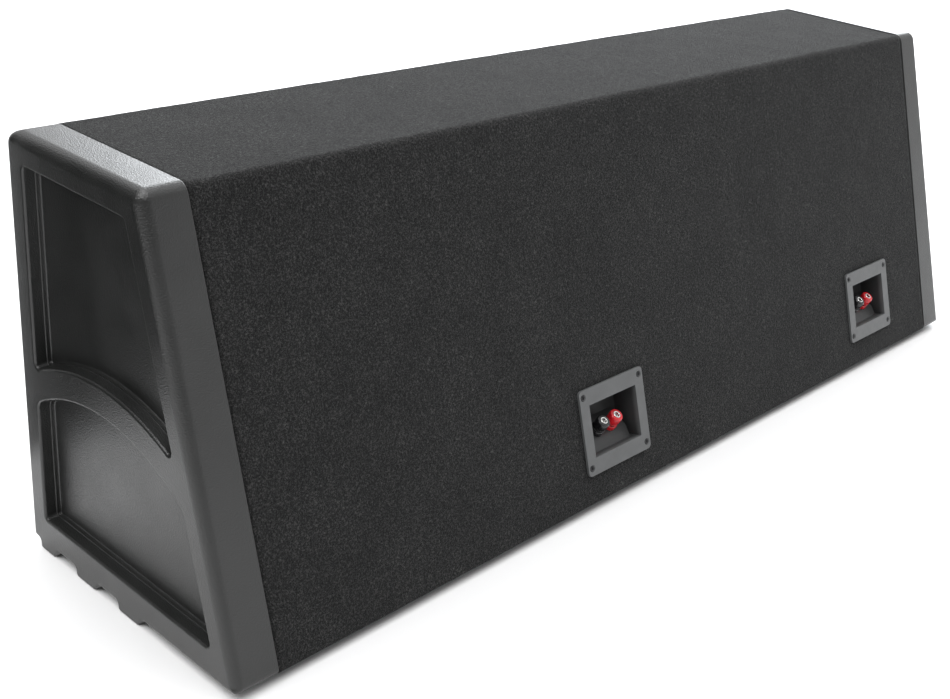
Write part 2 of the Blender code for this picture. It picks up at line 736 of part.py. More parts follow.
def main():
    for obj in list(bpy.data.objects):
        bpy.data.objects.remove(obj, do_unlink=True)
    finishes = {
        "basket": material("basket_steel", (0.02, 0.02, 0.02), 0.45, 0.3),
        "rubber": material("surround_rubber", (0.018, 0.018, 0.018), 0.55),
        "cone": material("cone_paper", (0.03, 0.03, 0.032), 0.5),
        "spider": material("spider_cloth", (0.45, 0.3, 0.08), 0.9),
        "coil": material("coil_former", (0.6, 0.35, 0.15), 0.4, 0.6),
        "steel": material("plated_steel", (0.5, 0.5, 0.5), 0.35, 1.0),
        "magnet": material("ferrite", (0.04, 0.04, 0.042), 0.6),
        "cup": material("cup_plastic", (0.07, 0.072, 0.075), 0.45),
        "foam": material("foam_gasket", (0.02, 0.02, 0.02), 0.9),
        "screw": material("black_screw", (0.03, 0.03, 0.03), 0.35, 0.8),
        "plated": material("nickel", (0.75, 0.74, 0.72), 0.2, 1.0),
        "red": material("red_plastic", (0.6, 0.01, 0.02), 0.25),
        "black": material("black_plastic", (0.01, 0.01, 0.01), 0.3),
    }
    wood = material("particle_board", (0.45, 0.32, 0.2), 0.8)
    carpet = material("carpet", (0.012, 0.012, 0.012), 0.95)
    plastic = material("cap_plastic", (0.035, 0.036, 0.038), 0.42)
    jacket = material("lead_jacket", (0.02, 0.02, 0.02), 0.5)

    build_box(wood, carpet)
    build_cap("end_cap_left", -1, plastic)
    build_cap("end_cap_right", 1, plastic)
    for side, x in (("left", -DRIVER_X), ("right", DRIVER_X)):
        build_driver(side, x, finishes)
        build_cup(side, finishes)
        build_lead(side, x, jacket)


main()
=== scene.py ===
"""The looks of the twin-driver enclosure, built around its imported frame.

Fine meshes stand for the moulded, turned and carpeted pieces, and the boards, magnets and leads inside keep
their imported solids. Everything is in metres, in the frame's own axes: -Y out of the driver baffle, +Z up.
"""

import math

import bmesh
import bpy
import numpy as np
from mathutils import Matrix, Vector


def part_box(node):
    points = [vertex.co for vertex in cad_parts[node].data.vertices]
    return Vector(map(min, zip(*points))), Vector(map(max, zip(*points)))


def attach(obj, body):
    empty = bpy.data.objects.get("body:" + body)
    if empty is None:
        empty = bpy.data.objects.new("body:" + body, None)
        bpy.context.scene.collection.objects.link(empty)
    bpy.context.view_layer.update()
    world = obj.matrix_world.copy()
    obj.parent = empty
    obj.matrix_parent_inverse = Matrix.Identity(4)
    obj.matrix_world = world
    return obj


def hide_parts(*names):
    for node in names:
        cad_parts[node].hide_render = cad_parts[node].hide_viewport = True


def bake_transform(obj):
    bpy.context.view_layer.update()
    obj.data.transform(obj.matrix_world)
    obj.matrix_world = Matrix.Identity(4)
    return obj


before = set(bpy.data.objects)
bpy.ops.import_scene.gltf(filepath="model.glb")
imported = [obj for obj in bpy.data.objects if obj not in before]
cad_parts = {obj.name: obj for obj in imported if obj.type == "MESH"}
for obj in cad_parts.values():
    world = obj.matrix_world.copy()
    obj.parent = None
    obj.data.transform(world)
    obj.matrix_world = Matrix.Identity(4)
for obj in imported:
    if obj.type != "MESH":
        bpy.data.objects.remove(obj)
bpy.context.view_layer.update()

MM = 0.001
GAP = 0.3 * MM

# ---------------------------------------------------------------- sizes, from the frame where it has them

CAP_LOW, CAP_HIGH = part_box("end_cap_right")
CARPET_LOW, CARPET_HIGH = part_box("carpet_wrap")
X_SEAM, X_FACE = CAP_LOW.x, CAP_HIGH.x
Y_FRONT = CAP_LOW.y
CAP_TOP = CAP_HIGH.z
CARPET_INSET = CAP_TOP - CARPET_HIGH.z
RIM = CARPET_LOW.z - CARPET_INSET
DEPTH_TOP = 165 * MM
DEPTH_BOTTOM = 268 * MM
SLOPE = math.atan2(DEPTH_BOTTOM - DEPTH_TOP, CAP_TOP - RIM)
CAP_CORNER = 11 * MM
BASE_CORNER = 5 * MM

FEET = ((8 * MM, 38 * MM), (60 * MM, 96 * MM), (118 * MM, 154 * MM))
FOOT_CORNER = 4 * MM
FOOT_RISE_FRONT = 4 * MM
FOOT_RISE_REAR = 8 * MM
FACE_ROUND = 10 * MM
FRONT_ROUND = 5 * MM
BOTTOM_ROUND = 4.5 * MM
FOOT_ROUND = 1.5 * MM
SKIRT_WALL = 4.4 * MM
SOCKET_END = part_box("end_panel_right")[1].x + GAP
ARCH_CENTRE = (Y_FRONT + 110 * MM, RIM - 16 * MM)
ARCH_OUTER = 192 * MM
ARCH_INNER = 168 * MM
WINDOW_FRONT = 20.5 * MM
WINDOW_TOP = 22.5 * MM
WINDOW_REAR = 22.5 * MM
WINDOW_BOTTOM = 24 * MM
WINDOW_CORNER = 4 * MM
WINDOW_TIP = 3 * MM  # the upper window's pointed corner, between its arch and its rear side
ARCH_REAR_CORNER = 14 * MM
ARCH_FRONT_CORNER = 10 * MM
RIM_ROUND = 2.2 * MM

CARPET_ROUNDS = (6 * MM, 1.8 * MM, 7 * MM, 5 * MM)  # from the lower front edge to the lower rear, and on
CARPET_SKIN = 2.2 * MM
CARPET_STEP = 4 * MM
CARPET_NAP = 0.4 * MM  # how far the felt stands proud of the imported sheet, before it is matted
CARPET_SWELL = 0.5 * MM
DRIVER_CUTOUT = 143 * MM
BAFFLE_REACH = 15 * MM
CUP_REACH = 20 * MM

CAMERA_PLACE = (0.9646, 0.7605, 0.6379)
CAMERA_AZIMUTH = math.radians(129.44)
CAMERA_ELEVATION = math.radians(22.98)
CAMERA_LEAN = math.radians(5.59)
CAMERA_LENS = 51.43
CAMERA_SHIFT = (-0.0895, -0.0521)

WALL_SIDE = (-0.72, -0.6, 0.35)  # the direction of the studio's bright wall
WORLD_DIM = 0.2
WORLD_BRIGHT = 1.0
CEILING_POWER = 3.0
CEILING_ANGLE = math.radians(75)
CEILING_TILT = (math.radians(5), math.radians(14), 0)
BACK_POWER = 75
BACK_PLACE = (-1.9, -1.6, 1.15)
BACK_TARGET = (0.2, 0, 0.3)
BACK_SIZE = (2.6, 1.5)
BACK_COLOUR = (0.93, 0.97, 1.0)
FLAG_LOW = (0.53, 0.055)  # X and Z of the dark card's corners
FLAG_HIGH = (1.7, 0.9)
FLAG_Y = -0.165
FLOOR_HALF = 6

DRIVER_STEPS = 96
DRIVER_SCREWS = 8
TERMINAL_ANGLE = math.radians(210)
SIDES = {"left": -1, "right": 1}
DRIVER_AXES = {side: sum(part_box(f"magnet_{side}"), Vector()) / 2 for side in SIDES}
SCREW_CIRCLE = 147.5 * MM
BASKET_WINDOWS = 6

CUP_WIDTH = 87 * MM
CUP_HEIGHT = 78 * MM
CUP_FLANGE = 2.4 * MM
CUP_PROUD = 3.5 * MM
CUP_DOWN = 284 * MM
CUP_MOUTH = (64 * MM, 48 * MM)
CUP_FLOOR = 28 * MM
CUP_WALL = 2.5 * MM
CUP_HOLE = (72 * MM, 56 * MM)
CUP_SCREWS = (38.5 * MM, 32.2 * MM)
SHELF_START_Z = -9.5 * MM
SHELF_END = (-14 * MM, -13 * MM)
SHELF_STOP = 27 * MM
POST_TILT = math.radians(42)
POST_UP = -8.4 * MM
POST_PITCH = 18 * MM
POST_STEPS = 48


# ---------------------------------------------------------------- node materials


class Finish:
    """A Principled material with short calls for the procedural detail wired into it."""

    def __init__(self, name, colour, roughness, metallic=0.0, **sockets):
        self.material = bpy.data.materials.new(name)
        self.material.use_nodes = True
        self.tree = self.material.node_tree
        self.shader = self.tree.nodes["Principled BSDF"]
        self.set("Base Color", (*colour, 1))
        self.set("Roughness", roughness)
        self.set("Metallic", metallic)
        for socket, value in sockets.items():
            self.set(socket.replace("_", " "), value)
        self.place = self.node("ShaderNodeTexCoord").outputs["Object"]
        self.last_bump = None

    def set(self, socket, value):
        self.shader.inputs[socket].default_value = value

    def node(self, kind, **values):
        made = self.tree.nodes.new(kind)
        for key, value in values.items():
            setattr(made, key, value)
        return made

    def link(self, output, socket):
        self.tree.links.new(output, socket)

    def noise(self, size, detail=2.0, roughness=0.5):
        """Noise with features of this size in metres."""
        mapping = self.node("ShaderNodeMapping")
        mapping.inputs["Scale"].default_value = [1 / size] * 3
        made = self.node("ShaderNodeTexNoise")
        made.inputs["Scale"].default_value = 1
        made.inputs["Detail"].default_value = detail
        made.inputs["Roughness"].default_value = roughness
        self.link(self.place, mapping.inputs["Vector"])
        self.link(mapping.outputs["Vector"], made.inputs["Vector"])
        return made.outputs["Fac"]

    def cells(self, size, stretch=(1, 1, 1)):
        """Cells of this size in metres, drawn out along any axis by stretch."""
        mapping = self.node("ShaderNodeMapping")
        mapping.inputs["Scale"].default_value = [1 / size / factor for factor in stretch]
        made = self.node("ShaderNodeTexVoronoi")
        made.inputs["Scale"].default_value = 1
        self.link(self.place, mapping.inputs["Vector"])
        self.link(mapping.outputs["Vector"], made.inputs["Vector"])
        return made.outputs["Distance"]

    def rings(self, spacing, distortion=0.0):
        """Concentric lines round the local Z axis."""
        made = self.node("ShaderNodeTexWave", wave_type="RINGS", rings_direction="Z")
        made.inputs["Scale"].default_value = 1 / spacing / (2 * math.pi)
        made.inputs["Distortion"].default_value = distortion
        self.link(self.place, made.inputs["Vector"])
        return made.outputs["Fac"]

    def ramp(self, value, *stops):
        """Colours or greys by a value: each stop is (position, colour or grey)."""
        made = self.node("ShaderNodeValToRGB")
        elements = made.color_ramp.elements
        while len(elements) < len(stops):
            elements.new(0.5)
        for element, (position, colour) in zip(elements, stops):
            element.position = position
            element.color = (*colour, 1) if isinstance(colour, tuple) else (colour, colour, colour, 1)
        self.link(value, made.inputs["Fac"])
        return made.outputs["Color"]

    def mixed(self, share, first, second, kind):
        """The first colour blended with this share of the second."""
        made = self.node("ShaderNodeMix", data_type="RGBA", blend_type=kind)
        made.inputs["Factor"].default_value = share
        self.link(first, made.inputs[6])
        self.link(second, made.inputs[7])
        return made.outputs[2]

    def colour_by(self, value, *stops):
        self.link(self.ramp(value, *stops), self.shader.inputs["Base Color"])
        return self

    def roughness_by(self, value, low, high):
        """Roughness from low to high over the middle of a noise's range."""
        made = self.node("ShaderNodeMapRange")
        made.inputs["From Min"].default_value = 0.3
        made.inputs["From Max"].default_value = 0.7
        made.inputs["To Min"].default_value = low
        made.inputs["To Max"].default_value = high
        self.link(value, made.inputs["Value"])
        self.link(made.outputs["Result"], self.shader.inputs["Roughness"])
        return self

    def bump_by(self, value, height, strength=1.0):
        """Adds a bump of this height in metres to those already there."""
        made = self.node("ShaderNodeBump")
        made.inputs["Strength"].default_value = strength
        made.inputs["Distance"].default_value = height
        self.link(value, made.inputs["Height"])
        if self.last_bump:
            self.link(self.last_bump, made.inputs["Normal"])
        self.link(made.outputs["Normal"], self.shader.inputs["Normal"])
        self.last_bump = made.outputs["Normal"]
        return self


def cap_plastic():
    """Near-black moulded plastic with a satin pebbled grain, a little shinier in patches."""
    made = Finish("cap_plastic", (0.012, 0.0125, 0.012), 0.34, Specular_IOR_Level=0.7)
    made.colour_by(made.noise(0.06, 3), (0.3, (0.0095, 0.01, 0.0095)), (0.7, (0.0145, 0.015, 0.0145)))
    made.roughness_by(made.noise(0.03, 4), 0.3, 0.38)
    made.bump_by(made.cells(1.15 * MM), 0.17 * MM, 0.95)
    made.bump_by(made.noise(0.7 * MM, 3), 0.09 * MM, 0.8)
    return made.material


def cup_plastic():
    """Grey moulded plastic at full tone on the flange, with painted shade darkening it down in the recess.
    """
    made = Finish("cup_plastic", (0.1, 0.102, 0.104), 0.4)
    shade = made.ramp(made.noise(0.02, 3), (0.3, (0.092, 0.095, 0.096)), (0.7, (0.108, 0.111, 0.113)))
    axes = made.node("ShaderNodeSeparateXYZ")
    made.link(made.place, axes.inputs["Vector"])
    # painted shade: the colour falls to 0.4 of itself from 1.5 mm to 6 mm below the flange's face, standing
    # in for the shade in the recess
    depth = made.node("ShaderNodeMapRange")
    depth.inputs["From Min"].default_value = -6 * MM
    depth.inputs["From Max"].default_value = -1.5 * MM
    depth.inputs["To Min"].default_value = 0.4
    made.link(axes.outputs["Z"], depth.inputs["Value"])
    made.link(made.mixed(1.0, shade, depth.outputs["Result"], "MULTIPLY"), made.shader.inputs["Base Color"])
    made.roughness_by(made.noise(6 * MM, 4), 0.34, 0.46)
    made.bump_by(made.noise(0.35 * MM, 3), 0.025 * MM, 0.7)
    return made.material


def carpet_felt():
    """Needled black felt: matted fibres, grey flecks, and a soft sheen at low angles."""
    made = Finish("carpet_felt", (0.02, 0.02, 0.02), 0.95, Sheen_Weight=0.14, Sheen_Roughness=0.5)
    made.set("Sheen Tint", (0.6, 0.61, 0.62, 1))
    made.set("Specular IOR Level", 0.1)
    fibre = made.noise(1.25 * MM, 5, 0.75)
    fleck = made.noise(2.3 * MM, 4, 0.8)
    patch = made.noise(0.05, 4, 0.6)
    base = made.ramp(fibre, (0.36, 0.003), (0.52, 0.014), (0.68, (0.08, 0.08, 0.078)))
    light = made.ramp(fleck, (0.54, 0.003), (0.68, (0.13, 0.13, 0.127)))
    flecked = made.mixed(0.6, base, light, "LIGHTEN")
    worn = made.ramp(patch, (0.35, 0.75), (0.65, 1.0))
    made.link(made.mixed(1.0, flecked, worn, "MULTIPLY"), made.shader.inputs["Base Color"])
    made.bump_by(fibre, 1.3 * MM, 1.0)
    made.bump_by(made.noise(2.8 * MM, 3), 0.7 * MM, 0.7)
    return made.material


def particle_board():
    made = Finish("particle_board", (0.45, 0.32, 0.2), 0.8)
    chips = made.cells(3 * MM, stretch=(1.6, 1.6, 0.7))
    made.colour_by(chips, (0.1, (0.5, 0.36, 0.23)), (0.5, (0.36, 0.25, 0.15)), (0.9, (0.22, 0.15, 0.09)))
    made.bump_by(chips, 0.2 * MM, 0.6)
    return made.material


def black_rubber():
    """Moulded rubber with a faint matt bloom."""
    made = Finish("black_rubber", (0.014, 0.014, 0.014), 0.5)
    made.colour_by(made.noise(0.02, 4), (0.3, 0.011), (0.75, 0.02))
    made.roughness_by(made.noise(8 * MM, 4), 0.42, 0.6)
    made.bump_by(made.noise(0.5 * MM, 2), 0.02 * MM, 0.6)
    return made.material


def pressed_pulp():
    made = Finish("pressed_pulp", (0.022, 0.022, 0.023), 0.6)
    made.colour_by(made.noise(2.5 * MM, 5, 0.7), (0.3, 0.016), (0.7, 0.032))
    made.roughness_by(made.noise(5 * MM, 4), 0.5, 0.72)
    made.bump_by(made.rings(1.6 * MM, 0.4), 0.06 * MM, 0.5)
    made.bump_by(made.noise(0.9 * MM, 4, 0.7), 0.08 * MM, 0.7)
    return made.material


def dome_plastic():
    made = Finish("dome_plastic", (0.02, 0.02, 0.021), 0.28, Coat_Weight=0.3, Coat_Roughness=0.15)
    made.colour_by(made.noise(8 * MM, 3), (0.3, 0.016), (0.7, 0.024))
    made.roughness_by(made.noise(4 * MM, 4), 0.24, 0.34)
    made.bump_by(made.cells(0.8 * MM), 0.02 * MM, 0.4)
    return made.material


def powder_coat():
    made = Finish("powder_coat", (0.018, 0.018, 0.018), 0.45)
    made.colour_by(made.noise(0.03, 3), (0.3, 0.014), (0.7, 0.022))
    made.roughness_by(made.noise(2 * MM, 3), 0.38, 0.5)
    made.bump_by(made.noise(0.7 * MM, 2), 0.05 * MM, 0.6)
    return made.material


def metal(name, colour, low, high):
    made = Finish(name, colour, low, 1.0)
    darker = tuple(channel * 0.8 for channel in colour)
    made.colour_by(made.noise(5 * MM, 4), (0.3, darker), (0.65, colour))
    made.roughness_by(made.noise(1.5 * MM, 4), low, high)
    made.bump_by(made.noise(0.4 * MM, 2), 0.01 * MM, 0.4)
    return made.material


def ferrite():
    made = Finish("ferrite", (0.04, 0.04, 0.042), 0.6)
    made.colour_by(made.noise(4 * MM, 5, 0.7), (0.3, (0.03, 0.03, 0.032)), (0.7, (0.06, 0.06, 0.062)))
    made.bump_by(made.noise(1.2 * MM, 4), 0.06 * MM, 0.7)
    return made.material


def spider_cloth():
    made = Finish("spider_cloth", (0.4, 0.27, 0.08), 0.85)
    weave = made.cells(0.9 * MM)
    made.colour_by(weave, (0.1, (0.46, 0.32, 0.1)), (0.6, (0.25, 0.16, 0.05)))
    made.bump_by(weave, 0.15 * MM, 0.7)
    return made.material


def copper_former():
    made = Finish("copper_former", (0.75, 0.42, 0.22), 0.3, 1.0)
    winding = made.node("ShaderNodeTexWave", wave_type="BANDS", bands_direction="Z")
    winding.inputs["Scale"].default_value = 1 / (0.5 * MM) / (2 * math.pi)
    made.link(made.place, winding.inputs["Vector"])
    made.colour_by(winding.outputs["Fac"], (0.2, (0.5, 0.26, 0.12)), (0.8, (0.8, 0.48, 0.26)))
    made.bump_by(winding.outputs["Fac"], 0.1 * MM, 0.8)
    return made.material


def gloss_plastic(name, colour):
    made = Finish(name, colour, 0.18, Coat_Weight=0.25, Coat_Roughness=0.08)
    darker = tuple(channel * 0.85 for channel in colour)
    made.colour_by(made.noise(4 * MM, 3), (0.3, darker), (0.7, colour))
    made.roughness_by(made.noise(2 * MM, 3), 0.15, 0.26)
    made.bump_by(made.noise(1.5 * MM, 2), 0.01 * MM, 0.4)
    return made.material


def foam():
    made = Finish("foam", (0.02, 0.02, 0.02), 0.95)
    pores = made.cells(0.6 * MM)
    made.colour_by(pores, (0.1, 0.01), (0.7, 0.03))
    made.bump_by(pores, 0.2 * MM, 0.8)
    return made.material


def floor_paint():
    made = Finish("studio_floor", (0.86, 0.86, 0.86), 0.55, Specular_IOR_Level=0.1)
    made.colour_by(made.noise(0.4, 3), (0.3, 0.85), (0.7, 0.87))
    made.roughness_by(made.noise(0.15, 3), 0.5, 0.6)
    return made.material


# ---------------------------------------------------------------- outlines in a plane


class Line:
    """One straight side of an outline that runs anticlockwise, so its inside is on its left."""

    def __init__(self, start, end):
        self.point = Vector(start)
        self.along = (Vector(end) - self.point).normalized()
        self.inward = Vector((-self.along.y, self.along.x))

    def moved_in(self, distance):
        start = self.point + self.inward * distance
        return Line(start, start + self.along)

    def nearest(self, point):
        return self.point + self.along * (point - self.point).dot(self.along)


class Arc:
    """One side of an outline that follows a circle, with the outline inside or outside it."""

    def __init__(self, centre, radius, inside):
        self.centre = Vector(centre)
        self.radius = radius
        self.inside = inside

    def moved_in(self, distance):
        return Arc(self.centre, self.radius + (-distance if self.inside else distance), self.inside)

    def nearest(self, point):
        return self.centre + (point - self.centre).normalized() * self.radius


def crossing(first, second):
    """Where two sides cross; of a circle's two crossings with a line, the higher one."""
    if isinstance(first, Arc):
        first, second = second, first
    if isinstance(second, Arc):
        foot = first.nearest(second.centre)
        reach = math.sqrt(second.radius**2 - (foot - second.centre).length_squared)
        return max((foot + first.along * reach, foot - first.along * reach), key=lambda p: p.y)
    share = (second.point - first.point).dot(second.inward) / first.along.dot(second.inward)
    return first.point + first.along * share


def turn_between(centre, start, end, steps):
    """Points on the shorter arc around centre from start to end, both included."""
    first = start - centre
    last = end - centre
    angle = math.atan2(first.x * last.y - first.y * last.x, first.dot(last))
    return [centre + Matrix.Rotation(angle * i / steps, 2) @ first for i in range(steps + 1)]


def filleted(sides, radii, steps, arc_steps=8):
    """The closed outline of these sides, with radii[i] at the corner from side i to the next."""
    corners = []
    for i, side in enumerate(sides):
        following = sides[(i + 1) % len(sides)]
        turns_left = isinstance(side, Arc) or isinstance(following, Arc)
        turns_left = turns_left or side.inward.dot(following.along) > 0
        inset = radii[i] if turns_left else -radii[i]
        centre = crossing(side.moved_in(inset), following.moved_in(inset))
        corners.append(turn_between(centre, side.nearest(centre), following.nearest(centre), steps))
    outline = []
    for i, side in enumerate(sides):
        if isinstance(side, Arc):
            start = corners[i - 1][-1]
            outline += turn_between(side.centre, start, corners[i][0], arc_steps)[1:-1]
        outline += corners[i]
    return outline


def rounded(points, radius, steps=6):
    radii = list(radius) if isinstance(radius, (list, tuple)) else [radius] * len(points)
    sides = [Line(point, points[(i + 1) % len(points)]) for i, point in enumerate(points)]
    return filleted(sides, radii[1:] + radii[:1], steps)


def rectangle(width, height, radius, steps=6):
    x, y = width / 2, height / 2
    return rounded([(-x, -y), (x, -y), (x, y), (-x, y)], radius, steps)


def circle(radius, steps):
    turns = (2 * math.pi * i / steps for i in range(steps))
    return [Vector((math.cos(turn), math.sin(turn))) * radius for turn in turns]


def inward_normals(outline):
    normals = []
    for i, point in enumerate(outline):
        before = (point - outline[i - 1]).normalized()
        after = (outline[(i + 1) % len(outline)] - point).normalized()
        along = (before + after).normalized()
        normals.append(Vector((-along.y, along.x)) / max(along.dot(before), 0.5))
    return normals


# ---------------------------------------------------------------- the wedge's cross-section, in Y and Z


def rear_y(z, inset=0.0):
    """Y of the sloping rear at a height, moved inwards square to itself."""
    return Y_FRONT + DEPTH_TOP + (CAP_TOP - z) * math.tan(SLOPE) - inset / math.cos(SLOPE)


def wedge(inset):
    low = RIM + inset
    high = CAP_TOP - inset
    front = Y_FRONT + inset
    return [(front, low), (rear_y(low, inset), low), (rear_y(high, inset), high), (front, high)]


# ---------------------------------------------------------------- meshes


def add_piece(name, bm, material, sharp=35, weighted=False):
    bmesh.ops.recalc_face_normals(bm, faces=bm.faces)
    mesh = bpy.data.meshes.new(name)
    bm.to_mesh(mesh)
    bm.free()
    mesh.shade_smooth()
    mesh.set_sharp_from_angle(angle=math.radians(sharp))
    if material:
        mesh.materials.append(material)
    obj = bpy.data.objects.new(name, mesh)
    bpy.context.scene.collection.objects.link(obj)
    if weighted:
        modifier = obj.modifiers.new("flat_faces", "WEIGHTED_NORMAL")
        modifier.keep_sharp = True
    return obj


def add_loops(bm, rings):
    """Bridges rings of points with equal counts, and returns the loops of vertices."""
    loops = [[bm.verts.new(point) for point in ring] for ring in rings]
    for low, high in zip(loops, loops[1:]):
        for i in range(len(low)):
            j = (i + 1) % len(low)
            bm.faces.new((low[i], low[j], high[j], high[i]))
    return loops


def fill_between(bm, *loops):
    """A flat face with holes: the first loop is its edge."""
    edges = []
    for loop in loops:
        for i, vert in enumerate(loop):
            following = loop[(i + 1) % len(loop)]
            edges.append(bm.edges.get((vert, following)) or bm.edges.new((vert, following)))
    bmesh.ops.triangle_fill(bm, use_beauty=True, use_dissolve=False, edges=edges)


def prism(outline, low, high):
    bm = bmesh.new()
    loops = add_loops(bm, [[(*point, z) for point in outline] for z in (low, high)])
    bm.faces.new(loops[0])
    bm.faces.new(loops[-1])
    return bm


def turned(profile, steps):
    """A closed profile of (radius, height) points carried round the local Z axis."""
    bm = bmesh.new()
    loops = []
    for radius, height in profile:
        if radius == 0:
            loops.append([bm.verts.new((0, 0, height))] * steps)
        else:
            loops.append([bm.verts.new((*point, height)) for point in circle(radius, steps)])
    for i, low in enumerate(loops):
        high = loops[(i + 1) % len(loops)]
        for j in range(steps):
            k = (j + 1) % steps
            corners = list(dict.fromkeys((low[j], low[k], high[k], high[j])))
            if len(corners) > 2:
                bm.faces.new(corners)
    return bm


def mm_profile(*points):
    return [(radius * MM, height * MM) for radius, height in points]


def merged(parts):
    together = bmesh.new()
    for part in parts:
        mesh = bpy.data.meshes.new("part")
        bmesh.ops.recalc_face_normals(part, faces=part.faces)
        part.to_mesh(mesh)
        part.free()
        together.from_mesh(mesh)
        bpy.data.meshes.remove(mesh)
    return together


def moved(bm, matrix):
    bmesh.ops.transform(bm, matrix=matrix, verts=bm.verts)
    return bm


def cut(obj, bm, operation="DIFFERENCE"):
    """Applies a Boolean with a throwaway tool."""
    tool = add_piece("tool", bm, None)
    tool.matrix_world = obj.matrix_world
    modifier = obj.modifiers.new("cut", "BOOLEAN")
    modifier.operation = operation
    modifier.object = tool
    apply_modifiers(obj)
    bpy.data.objects.remove(tool)


def apply_modifiers(obj):
    bpy.context.view_layer.update()
    graph = bpy.context.evaluated_depsgraph_get()
    mesh = bpy.data.meshes.new_from_object(obj.evaluated_get(graph))
    obj.modifiers.clear()
    obj.data = mesh


def refinish(obj, material):
    """Gives a piece its one material back after Booleans, and smooths it between its sharp edges."""
    obj.data.materials.clear()
    obj.data.materials.append(material)
    obj.data.shade_smooth()
    obj.data.set_sharp_from_angle(angle=math.radians(35))


def soften(obj, width, segments, material):
    """Rounds the sharp edges and keeps the flat faces flat."""
    bevel = obj.modifiers.new("edges", "BEVEL")
    bevel.width = width
    bevel.segments = segments
    bevel.limit_method = "ANGLE"
    bevel.angle_limit = math.radians(40)
    bevel.use_clamp_overlap = True
    apply_modifiers(obj)
    refinish(obj, material)
    weighted = obj.modifiers.new("flat_faces", "WEIGHTED_NORMAL")
    weighted.keep_sharp = True


# ---------------------------------------------------------------- end caps


def cap_outline():
    """The cap's edge with its three feet."""
    points = [(0, RIM)]
    for start, end in FEET:
        points += [(start, RIM), (start + FOOT_RISE_FRONT, 0), (end - FOOT_RISE_REAR, 0), (end, RIM)]
    points = [(Y_FRONT + y, z) for y, z in points] + wedge(0)[1:]
    radii = [BASE_CORNER] + [FOOT_CORNER] * 4 * len(FEET) + [BASE_CORNER, CAP_CORNER, CAP_CORNER]
    return rounded(points, radii)


def between(low, high, share):
    """Eases from low to high as the share goes from 0 to 1."""
    share = min(max(share, 0), 1)
    return low + (high - low) * share * share * (3 - 2 * share)


def face_round(point):
    """How far the cap's edge is rounded over to its face at a point of its outline."""
    low = between(FOOT_ROUND, BOTTOM_ROUND, point.y / RIM)
    high = between(FRONT_ROUND, FACE_ROUND, (point.x - Y_FRONT) / CAP_CORNER)
    return between(low, high, (point.y - RIM) / CAP_CORNER)


def window_outline(upper, grow):
    front = Y_FRONT + WINDOW_FRONT - grow
    top = CAP_TOP - WINDOW_TOP + grow
    bottom = RIM + WINDOW_BOTTOM - grow
    inset = WINDOW_REAR - grow
    sides = [
        Line((rear_y(bottom, inset), bottom), (rear_y(top, inset), top)),
        Line((rear_y(top, inset), top), (front, top)),
        Line((front, top), (front, bottom)),
        Line((front, bottom), (rear_y(bottom, inset), bottom)),
    ]
    if upper:
        sides[3] = Arc(ARCH_CENTRE, ARCH_OUTER - grow, inside=False)
        radii = [WINDOW_CORNER, WINDOW_CORNER, WINDOW_CORNER, WINDOW_TIP]
    else:
        sides[1] = Arc(ARCH_CENTRE, ARCH_INNER + grow, inside=True)
        radii = [ARCH_REAR_CORNER, ARCH_FRONT_CORNER, WINDOW_CORNER, WINDOW_CORNER]
    return filleted(sides, [radius + grow for radius in radii], steps=6, arc_steps=28)


def window_steps():
    """How a recess goes in: (grow, depth) down a rounded rim, a wall, a small step and a second wall."""
    steps = []
    for i in range(7):
        turn = math.pi / 2 * i / 6
        steps.append((RIM_ROUND * (1 - math.sin(turn)), RIM_ROUND * (1 - math.cos(turn))))
    walls = ((-0.35, 9.2), (-0.6, 9.6), (-1.3, 9.8), (-1.5, 12.0), (-1.9, 12.7), (-2.8, 13.0))
    return steps + [(grow * MM, depth * MM) for grow, depth in walls]


def build_cap(side_name, side, material):
    bm = bmesh.new()
    outline = cap_outline()
    normals = inward_normals(outline)
    radii = [face_round(point) for point in outline]
    edge = 0.7 * MM
    rings = []
    for along, inwards in ((0, edge), (edge * 0.3, edge * 0.3), (edge, 0)):
        x = side * (X_SEAM + along)
        rings.append([(x, *(point + normal * inwards)) for point, normal in zip(outline, normals)])
    turns = 10
    for i in range(turns + 1):
        lean = math.pi / 2 * i / turns
        ring = []
        for point, normal, radius in zip(outline, normals, radii):
            inwards = point + normal * radius * (1 - math.cos(lean))
            ring.append((side * (X_FACE - radius * (1 - math.sin(lean))), *inwards))
        rings.append(ring)
    shell = add_loops(bm, rings)

    holes = []
    for upper in (True, False):
        recess = []
        for grow, depth in window_steps():
            recess.append([(side * (X_FACE - depth), *point) for point in window_outline(upper, grow)])
        loops = add_loops(bm, recess)
        bm.faces.new(loops[-1])
        holes.append(loops[0])
    fill_between(bm, shell[-1], *holes)

    socket = rounded(wedge(SKIRT_WALL), 5 * MM)
    loops = add_loops(bm, [[(side * x, *point) for point in socket] for x in (X_SEAM, SOCKET_END)])
    fill_between(bm, shell[0], loops[0])
    bm.faces.new(loops[-1])
    cap = add_piece(f"cap_shell_{side_name}", bm, material, sharp=50, weighted=True)
    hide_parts(f"end_cap_{side_name}")
    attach(cap, "cabinet")


# ---------------------------------------------------------------- carpet


def even_outline(outline, spacing):
    """The outline with its long sides divided into steps of about this length."""
    points = []
    for i, point in enumerate(outline):
        following = outline[(i + 1) % len(outline)]
        count = max(round((following - point).length / spacing), 1)
        points += [point.lerp(following, j / count) for j in range(count)]
    return points


def cup_place(x):
    """The frame of a terminal cup: origin in the middle of the flange's front, +Y up the slope, +Z out."""
    z = CAP_TOP - CUP_DOWN * math.cos(SLOPE)
    out = Vector((0, math.cos(SLOPE), math.sin(SLOPE)))
    up = Vector((0, -math.sin(SLOPE), math.cos(SLOPE)))
    origin = Vector((x, rear_y(z, CARPET_INSET), z)) + out * CUP_PROUD
    return Matrix.Translation(origin) @ Matrix((up.cross(out), up, out)).transposed().to_4x4()


